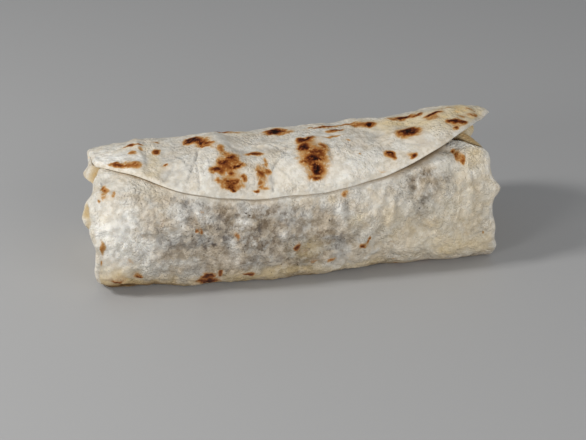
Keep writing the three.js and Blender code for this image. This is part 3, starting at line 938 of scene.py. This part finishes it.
def wall_grid():
    """Every station's loop, in order: the flap's top from its free edge back to where it touches,
    the body's round, the flap's underside out to its edge again, and the rounded lip."""
    station = station_places()[:, None]
    overhang = overhang_at(station)
    edge = angle_at(flap_edge(station + overhang))
    touch = angle_at(flap_edge(station) - flap_loose(station))
    thickness = flap_thickness(station)

    back = np.arange(FLAP_STEPS + 1) / FLAP_STEPS
    looseness = 1 - back
    theta = mix(edge, touch, back)
    x = station + overhang * looseness + rim_shift(theta, station) * rise(0.5, 0, looseness)
    gap = flap_gap(x, looseness)
    from_edge = (theta - edge) * DEPTH / 2
    taper = mix(EDGE_SHEET / thickness, 1, np.clip(from_edge / EDGE_BEVEL, 0, 1) ** 0.7)
    top, top_fields = raised(x, theta, gap + thickness * taper, rise(0, 2.5, from_edge), True)
    under = on_roll(x, theta, gap)

    directions = directions_round(edge, touch)
    layer = thickness * (1 - (directions - touch) / TURN)
    below_edge = (TURN + edge - directions) * DEPTH / 2
    body_x = station + rim_shift(from_below(directions), station)
    on_flap = directions < 0.75 * TURN
    body, body_fields = raised(body_x, directions, layer, rise(-2, 7, below_edge), on_flap)
    # Painted shade on the body where little light reaches, none on the flap.
    dark = shadow_lines(body_x, station, way_at(directions), below_edge)
    body_fields["inside"] = np.where(on_flap, 0, dark)

    round_lip = TURN / 2 * ((np.arange(LIP_STEPS) + 1) / (LIP_STEPS + 1) - 0.5)
    tip = station + overhang
    lip_theta = edge - EDGE_SHEET / DEPTH * np.cos(round_lip)
    lip = on_roll(tip, lip_theta, flap_gap(tip, 1) + EDGE_SHEET / 2 * (1 + np.sin(round_lip)))

    plain = np.zeros_like(x)
    lip_plain = np.zeros_like(lip_theta)
    fields = {}
    for name in FIELDS:
        under_flap = plain[:, 1:] + (UNDER_FLAP_SHADE if name == "inside" else 0)
        parts = [top_fields.get(name, plain)[:, :-1], body_fields[name], under_flap, lip_plain]
        fields[name] = np.concatenate(parts, axis=1)
    return {
        "station": station,
        "directions": directions,
        "top": top,
        "under": under,
        "points": np.concatenate([top[:, :-1], body, under[:, -2::-1], lip], axis=1),
        "fields": fields,
    }


def end_relief(side, theta, inward, wound):
    """How far an end stands out, by the part of the way from its rim to its middle: folded edges
    with creases between them, wound inwards, and the corner of a fold that sticks out."""
    crease = 1 - np.abs(np.sin(TURN / 2 * (END_TURNS * inward - wound))) ** 0.6
    height, swell = (CORNER_LEFT, SWELL_LEFT) if side < 0 else (CORNER_RIGHT, SWELL_RIGHT)
    angle = np.degrees(theta)
    corner = height * bell(angle, 28, 17) * bell(inward, 0.3, 0.16)
    if side < 0:
        corner = corner + 3.3 * rise(58, 82, angle) * rise(132, 108, angle) * bell(inward, 0.3, 0.13)
    else:
        corner = corner + (bell(angle, 106, 8) - 3.4 * bell(angle, 92, 7)) * rise(0, 0.1, inward)
    return corner - CREASE * crease * rise(0.03, 0.2, inward) + swell * rise(0, 0.5, inward)


def end_rings(side, grid):
    """One end within its rim, ring by ring: a quarter round over the rim, then inwards to a short
    line in the middle. Each ring starts from the body's last loop and takes the end's relief."""
    column = 0 if side < 0 else -1
    station = grid["station"][column, 0]
    directions = grid["directions"][column, :-1]
    theta = from_below(directions)
    shift = rim_shift(theta, station)
    first = grid["points"][column, FLAP_STEPS : FLAP_STEPS + len(directions)]
    plain = on_roll(station + shift, theta, 0)
    step = np.arange(1, END_STEPS + 1)[:, None]
    quarter = TURN / 4 * np.minimum(step / RIM_STEPS, 1)
    after_rim = np.maximum(step - RIM_STEPS, 0) / (END_STEPS - RIM_STEPS)
    hub_height = AXIS_HEIGHT + MIDDLE_RAISED
    middle_y, middle_z = plain[:, 1] * MIDDLE_WIDTH, mix(hub_height, plain[:, 2], MIDDLE_HEIGHT)
    across = np.hypot(plain[:, 1] - middle_y, plain[:, 2] - middle_z)
    inward = mix(RIM / across * (1 - np.cos(quarter)), 1, after_rim)
    settle = rise(0, 0.35, inward)
    y, z = mix(first[:, 1], plain[:, 1], settle), mix(first[:, 2], plain[:, 2], settle)
    wound = (directions - directions[0]) / TURN
    out = RIM * np.sin(quarter) + end_relief(side, theta, inward, wound)
    flat_y, flat_z = mix(y, middle_y, inward), mix(z, middle_z, inward)
    out = out - OPENING_DEPTH * end_openings(side, flat_y, flat_z) * rise(0, 0.06, inward)
    x = station + shift * rise(0.35, 0, inward) + side * out
    soft = unevenness(x, y * (1 - inward), z * (1 - inward), WRINKLE_SIZE, 3)
    small = 0.5 * cobbles(y * (1 - inward) + 90, z * (1 - inward) + 90, 6, 9)
    x = x + side * (soft + small) * rise(0, 0.3, inward)
    fields = end_fields(side, theta, flat_y, flat_z, inward)
    return np.stack([x, flat_y, flat_z], axis=-1), fields


def side_rows(side, grid):
    """The loose flap's rounded side edge: half circles from its top to its underside."""
    column = 0 if side < 0 else -1
    top, under = grid["top"][column], grid["under"][column]
    middle = (top + under) / 2
    half = np.linalg.norm(top - under, axis=-1, keepdims=True) / 2
    turn = TURN / 2 * (0.5 - (np.arange(LIP_STEPS)[:, None, None] + 1) / (LIP_STEPS + 1))
    outward = np.array([side, 0, 0]) * half * np.cos(turn)
    return middle + (top - middle) * np.sin(turn) + outward


def quads(a, b, c, d):
    """Four corners of each quad, named in turn, as rows."""
    return np.stack([a.ravel(), b.ravel(), c.ravel(), d.ravel()], axis=-1)


def triangles_of(corners, points):
    """Two triangles over each quad, split along its shorter diagonal."""
    a, b, c, d = corners.T
    long_ac = np.linalg.norm(points[a] - points[c], axis=-1)
    long_bd = np.linalg.norm(points[b] - points[d], axis=-1)
    by_bd = (long_bd < long_ac)[:, None]
    first = np.where(by_bd, np.stack([a, b, d], -1), np.stack([a, b, c], -1))
    second = np.where(by_bd, np.stack([b, c, d], -1), np.stack([a, c, d], -1))
    return np.concatenate([first, second])


def build_wrap():
    """The whole closed surface: the wall between the stations, both ends within their rims, and
    the side edges of the loose flap. Returns points, triangles and the fields for the finish."""
    grid = wall_grid()
    stations, loop = grid["fields"]["toast"].shape
    index = np.arange(stations * loop).reshape(stations, loop)
    onward = np.roll(index, -1, axis=1)
    squares = [quads(index[:-1], index[1:], onward[1:], onward[:-1])]
    triangles = []
    points = [grid["points"].reshape(-1, 3)]
    fields = {name: [values.ravel()] for name, values in grid["fields"].items()}
    count = index.size

    def add(rows, **values):
        nonlocal count
        points.append(rows.reshape(-1, 3))
        size = rows.size // 3
        for name, field in fields.items():
            field.append(np.broadcast_to(values.get(name, 0.0), rows.shape[:-1]).ravel())
        count += size
        return np.arange(count - size, count).reshape(rows.shape[:-1])

    body_count = grid["directions"].shape[1]
    for side, column in ((-1, 0), (1, -1)):
        winding = slice(None, None, 1 if side > 0 else -1)
        rings, end_values = end_rings(side, grid)
        inner = add(rings, **end_values)
        inner = np.concatenate([inner, inner[:, :1]], axis=1)
        body = index[column, FLAP_STEPS : FLAP_STEPS + body_count]
        outer = np.concatenate([body[None], inner[:-1]], axis=0)
        corners = quads(outer[:, :-1], inner[:, :-1], inner[:, 1:], outer[:, 1:])
        squares.append(corners[:, winding])
        hub_x = grid["station"][column, 0] + side * (RIM - 1)
        # The middle of each end takes full painted shade.
        hub = add(np.array([[hub_x, 0, AXIS_HEIGHT + MIDDLE_RAISED]]), inside=1.0)[0]
        last = inner[-1]
        fan = np.stack([last[:-1], np.full(len(last) - 1, hub), last[1:]], axis=-1)
        triangles.append(fan[:, winding])

        top_row = index[column, : FLAP_STEPS + 1]
        under_row = index[column, FLAP_STEPS + body_count - 1 : 2 * FLAP_STEPS + body_count][::-1]
        nose = add(side_rows(side, grid))
        rows = np.concatenate([top_row[None], nose, under_row[None]], axis=0)
        corners = quads(rows[:-1, :-1], rows[1:, :-1], rows[1:, 1:], rows[:-1, 1:])
        squares.append(corners[:, winding])
        joint = np.full(LIP_STEPS + 1, inner[0, 0])
        triangles.append(np.stack([joint, rows[:-1, -1], rows[1:, -1]], axis=-1)[:, winding])

        lip = index[column, loop - LIP_STEPS :][::-1]
        strip = quads(rows[1:-2, 0], lip[:-1], lip[1:], rows[2:-1, 0])
        squares.append(strip[:, winding])
        corner_top = np.array([[rows[0, 0], lip[0], rows[1, 0]]])
        corner_under = np.array([[rows[-1, 0], rows[-2, 0], lip[-1]]])
        triangles.append(np.concatenate([corner_top, corner_under])[:, winding])

    points = np.concatenate(points)
    split = triangles_of(np.concatenate(squares), points)
    triangles = np.concatenate([split] + triangles)
    fields = {name: np.concatenate(values) for name, values in fields.items()}
    return points, triangles, fields


def make_mesh(name, points, triangles, fields):
    """A mesh with every face smooth and one attribute for each field."""
    mesh = bpy.data.meshes.new(name)
    mesh.vertices.add(len(points))
    mesh.vertices.foreach_set("co", (points * MM).astype(np.float32).ravel())
    mesh.loops.add(triangles.size)
    mesh.loops.foreach_set("vertex_index", triangles.astype(np.int32).ravel())
    mesh.polygons.add(len(triangles))
    mesh.polygons.foreach_set("loop_start", np.arange(0, triangles.size, 3, dtype=np.int32))
    mesh.polygons.foreach_set("use_smooth", np.ones(len(triangles), dtype=bool))
    mesh.update(calc_edges=True)
    mesh.validate()
    for field, values in fields.items():
        attribute = mesh.attributes.new(field, "FLOAT", "POINT")
        attribute.data.foreach_set("value", values.astype(np.float32))
    return mesh


# ---------------------------------------------------------------- finish
def tone(hex_code):
    """A colour given as eight-bit display values, turned into the linear light a shader takes."""
    shown = np.array([int(hex_code[i : i + 2], 16) for i in (0, 2, 4)]) / 255
    linear = np.where(shown <= 0.04045, shown / 12.92, ((shown + 0.055) / 1.055) ** 2.4)
    return (*linear.tolist(), 1.0)


def add_node(tree, kind, inputs=None, **settings):
    """A new node with its settings, and each input set to a value or linked to a socket."""
    node = tree.nodes.new(kind)
    for name, value in settings.items():
        setattr(node, name, value)
    for name, value in (inputs or {}).items():
        if isinstance(value, bpy.types.NodeSocket):
            tree.links.new(value, node.inputs[name])
        else:
            node.inputs[name].default_value = value
    return node


def blend(tree, part, a, b):
    """A colour between a and b, each a colour's name in hex or a socket."""
    a, b = (tone(colour) if isinstance(colour, str) else colour for colour in (a, b))
    node = add_node(tree, "ShaderNodeMix", {0: part, 6: a, 7: b}, data_type="RGBA")
    return node.outputs[2]


def reckon(tree, operation, a, b=0.0, c=0.0):
    """One step of arithmetic, held between 0 and 1."""
    node = add_node(tree, "ShaderNodeMath", {0: a, 1: b, 2: c}, operation=operation)
    node.use_clamp = True
    return node.outputs[0]


def times(tree, a, b):
    """The product of two values."""
    return reckon(tree, "MULTIPLY", a, b)


def scaled(tree, value, factor, added):
    """A value times a factor, with something added."""
    return reckon(tree, "MULTIPLY_ADD", value, factor, added)


def between(tree, value, low, high):
    """A value brought from low..high to 0..1 by a smooth step."""
    settings = {"Value": value, "From Min": low, "From Max": high}
    node = add_node(tree, "ShaderNodeMapRange", settings, interpolation_type="SMOOTHSTEP")
    return node.outputs["Result"]


def noise(tree, place, size, detail=3.0, roughness=0.55):
    """Fractal noise whose largest features are about a size in millimetres."""
    inputs = {"Vector": place, "Scale": 1 / (size * MM), "Detail": detail, "Roughness": roughness}
    return add_node(tree, "ShaderNodeTexNoise", inputs).outputs["Fac"]


def pimples(tree, place, size):
    """Small rounded cells with creases between them, their outlines shaken by noise."""
    pace = 1 / (size * MM)
    shake = add_node(tree, "ShaderNodeTexNoise", {"Vector": place, "Scale": pace})
    inputs = {0: shake.outputs["Color"], "Scale": 0.8 * size * MM}
    shake = add_node(tree, "ShaderNodeVectorMath", inputs, operation="SCALE")
    moved = add_node(tree, "ShaderNodeVectorMath", {0: place, 1: shake.outputs["Vector"]})
    inputs = {"Vector": moved.outputs["Vector"], "Scale": pace}
    cells = add_node(tree, "ShaderNodeTexVoronoi", inputs, feature="DISTANCE_TO_EDGE")
    return between(tree, cells.outputs["Distance"], 0.0, 0.35)


def field(tree, name):
    """A field that the mesh carries."""
    return add_node(tree, "ShaderNodeAttribute", attribute_name=name).outputs["Fac"]


def ramp(tree, value, stops):
    """A colour ramp over stops, each a place and a colour in hex."""
    node = add_node(tree, "ShaderNodeValToRGB", {"Fac": value})
    steps = node.color_ramp.elements
    while len(steps) < len(stops):
        steps.new(0.5)
    for step, (place, colour) in zip(steps, stops):
        step.position = place
        step.color = tone(colour)
    return node.outputs["Color"]


def dough_colour(tree, place, filling):
    """Mottled off-white dough: floury in places, with painted shade in its hollows and creases and grey
    in dulled patches, tinted and darkened where the filling shows through, whiter where it lies
    thicker, with painted light on the left end, yellower where it is thin and oiled, with painted
    shade along the foot and beside the left fold's ridge and a painted glow at the right end's inner
    layer, painted brown shade under the flap, beside its edge and in the ends' openings, with specks."""
    mottle = between(tree, noise(tree, place, MOTTLE), 0.35, 0.68)
    mealy = between(tree, noise(tree, place, MEAL, 3.0, 0.6), 0.43, 0.59)
    fleck = between(tree, noise(tree, place, FLECK, 5.0, 0.68), 0.43, 0.59)
    colour = blend(tree, mottle, DOUGH, DULLER_DOUGH)
    colour = blend(tree, times(tree, mealy, 0.55), colour, FLOURY)
    # Painted shade in the relief's hollows.
    colour = blend(tree, times(tree, field(tree, "hollow_shade"), 0.5), colour, HOLLOW_SHADE)
    tint = between(tree, noise(tree, place, TINT), 0.4, 0.6)
    tint = blend(tree, tint, TINT_COOL, TINT_WARM)
    colour = blend(tree, scaled(tree, filling, 0.3, 0.22), colour, tint)
    # Grey where the flap is dulled, and painted shade in the creases and at the foot of the fold's
    # step.
    dull_and_crease_shade = times(tree, field(tree, "dull_and_crease_shade"), scaled(tree, fleck, 0.7, 0.4))
    colour = blend(tree, dull_and_crease_shade, colour, DULL_AND_CREASE_SHADE)

    seen = times(tree, scaled(tree, fleck, 0.62, 0.44), scaled(tree, mealy, -0.32, 1.1))
    seen = times(tree, seen, filling)
    warm_side = between(tree, noise(tree, place, FILLING_TINT), 0.36, 0.56)
    colour = blend(tree, seen, colour, blend(tree, warm_side, FILLING_COOL, FILLING_WARM))
    # Whiter where the dough lies thicker, and painted light on the left end.
    thick_and_lit = times(tree, field(tree, "thick_and_lit"), scaled(tree, mealy, 0.45, 0.6))
    colour = blend(tree, thick_and_lit, colour, THICK_AND_LIT_DOUGH)
    # Yellower where the dough is thin and oiled, with painted shade along the foot and beside the left
    # fold's ridge, and the lightest yellow a painted glow where the right end's inner layer shows.
    warm = times(tree, field(tree, "warm"), scaled(tree, mottle, 0.3, 0.7))
    colour = blend(tree, warm, colour, THIN_AND_SHADED_DOUGH)
    colour = blend(tree, between(tree, warm, 0.72, 1.0), colour, OILED_AND_GLOWING_DOUGH)
    # Painted shade: brown under the flap, beside its edge, along the tuck, at the foot and in the ends'
    # openings.
    inside = field(tree, "inside")
    colour = blend(tree, inside, colour, SHADE_BROWN)
    colour = blend(tree, between(tree, inside, 0.6, 1.0), colour, DEEP_SHADE_BROWN)

    specks = between(tree, noise(tree, place, SPECK, 1.0), 0.70, 0.76)
    specks = times(tree, specks, scaled(tree, filling, 0.9, 0.15))
    return blend(tree, specks, colour, SPECK_COLOUR)


def browned_colour(tree, colour, browned, filling):
    """The same colour browned by the griddle, from pale gold to black, and more of a wet brown
    where the filling lies under the mark."""
    shown = between(tree, browned, 0.03, 0.25)
    colour = blend(tree, shown, colour, ramp(tree, browned, BROWNS))
    sodden = times(tree, shown, filling)
    return blend(tree, times(tree, sodden, 0.48), colour, SODDEN_BROWN)


def dough_bump(tree, place):
    """The grain too fine for the mesh: coarse and fine noise with pimples, more where it is coarse."""
    coarse = times(tree, noise(tree, place, COARSE, 5.0, 0.62), 0.5)
    height = scaled(tree, noise(tree, place, GRAIN, 3.0), 0.2, coarse)
    height = scaled(tree, pimples(tree, place, PIMPLE), 0.3, height)
    height = times(tree, height, field(tree, "coarse"))
    inputs = {"Height": height, "Distance": BUMP_HEIGHT * MM, "Strength": 1.0}
    return add_node(tree, "ShaderNodeBump", inputs).outputs["Normal"]


def tortilla_finish():
    """Cooked flour dough, toasted on a griddle: matt, and a little rougher where it is browned."""
    material = bpy.data.materials.new("toasted_tortilla")
    material.use_nodes = True
    tree = material.node_tree
    tree.nodes.clear()
    place = add_node(tree, "ShaderNodeTexCoord").outputs["Object"]
    filling = field(tree, "filling")
    uneven = scaled(tree, noise(tree, place, BLOTCH, 4.0, 0.6), 2.5, -0.28)
    browned = times(tree, field(tree, "toast"), uneven)
    dough = dough_colour(tree, place, filling)
    inputs = {
        "Base Color": browned_colour(tree, dough, browned, filling),
        "Roughness": scaled(tree, browned, 0.35, 0.58),
        "Normal": dough_bump(tree, place),
        "Specular IOR Level": 0.15,
        "Subsurface Weight": 0.06,
        "Subsurface Radius": (1.0, 0.8, 0.55),
        "Subsurface Scale": SCATTER * MM,
    }
    shader = add_node(tree, "ShaderNodeBsdfPrincipled", inputs)
    add_node(tree, "ShaderNodeOutputMaterial", {"Surface": shader.outputs["BSDF"]})
    return material


def plain_finish(name, colour, roughness):
    """A plain finish for what isn't part of the object."""
    material = bpy.data.materials.new(name)
    material.use_nodes = True
    shader = material.node_tree.nodes["Principled BSDF"]
    shader.inputs["Base Color"].default_value = colour
    shader.inputs["Roughness"].default_value = roughness
    return material


# ---------------------------------------------------------------- the wrap
def make_wrap():
    """The tortilla, standing for the solid of the same form."""
    points, triangles, fields = build_wrap()
    mesh = make_mesh("rolled_tortilla", points - BOX_MIDDLE, triangles, fields)
    mesh.materials.append(tortilla_finish())
    wrap = bpy.data.objects.new("rolled_tortilla", mesh)
    bpy.context.scene.collection.objects.link(wrap)
    return wrap


# ---------------------------------------------------------------- floor, light and camera
def make_floor():
    """A flat square under the object."""
    corners = [(x * FLOOR_HALF, y * FLOOR_HALF, 0) for x, y in ((-1, -1), (1, -1), (1, 1), (-1, 1))]
    mesh = bpy.data.meshes.new("floor")
    mesh.from_pydata(corners, [], [(0, 1, 2, 3)])
    mesh.materials.append(plain_finish("pale_floor", tone(FLOOR_COLOUR), FLOOR_ROUGHNESS))
    floor = bpy.data.objects.new("floor", mesh)
    bpy.context.scene.collection.objects.link(floor)
    return floor


def aim(thing, place, target):
    """Puts a light or camera at a place, looking at a target."""
    thing.location = place
    thing.rotation_euler = (Vector(target) - Vector(place)).to_track_quat("-Z", "Y").to_euler()


def add_softbox(name, place, size, power, colour):
    """A square area light that faces the middle of the object."""
    light = bpy.data.lights.new(name, "AREA")
    light.size = size
    light.energy = power
    light.color = colour
    lamp = bpy.data.objects.new(name, light)
    bpy.context.scene.collection.objects.link(lamp)
    aim(lamp, place, SOFTBOX_TARGET)


def add_camera():
    """The camera: a long lens, looking down from in front and a little to the left."""
    camera = bpy.data.objects.new("camera", bpy.data.cameras.new("camera"))
    camera.data.lens = LENS
    camera.data.sensor_width = SENSOR
    camera.data.clip_start = NEAREST_SEEN
    bpy.context.scene.collection.objects.link(camera)
    aim(camera, CAMERA_PLACE, CAMERA_TARGET)
    bpy.context.scene.camera = camera


def light_room():
    """An even pale light from all round."""
    world = bpy.data.worlds.new("room")
    world.use_nodes = True
    background = world.node_tree.nodes["Background"]
    background.inputs["Color"].default_value = ROOM_COLOUR
    background.inputs["Strength"].default_value = ROOM_STRENGTH
    bpy.context.scene.world = world


wrap = make_wrap()
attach(wrap, "root")
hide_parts("tortilla_wrap")

floor = make_floor()
light_room()
for softbox in SOFTBOXES:
    add_softbox(*softbox)
add_camera()
bpy.context.scene.view_settings.view_transform = "Standard"
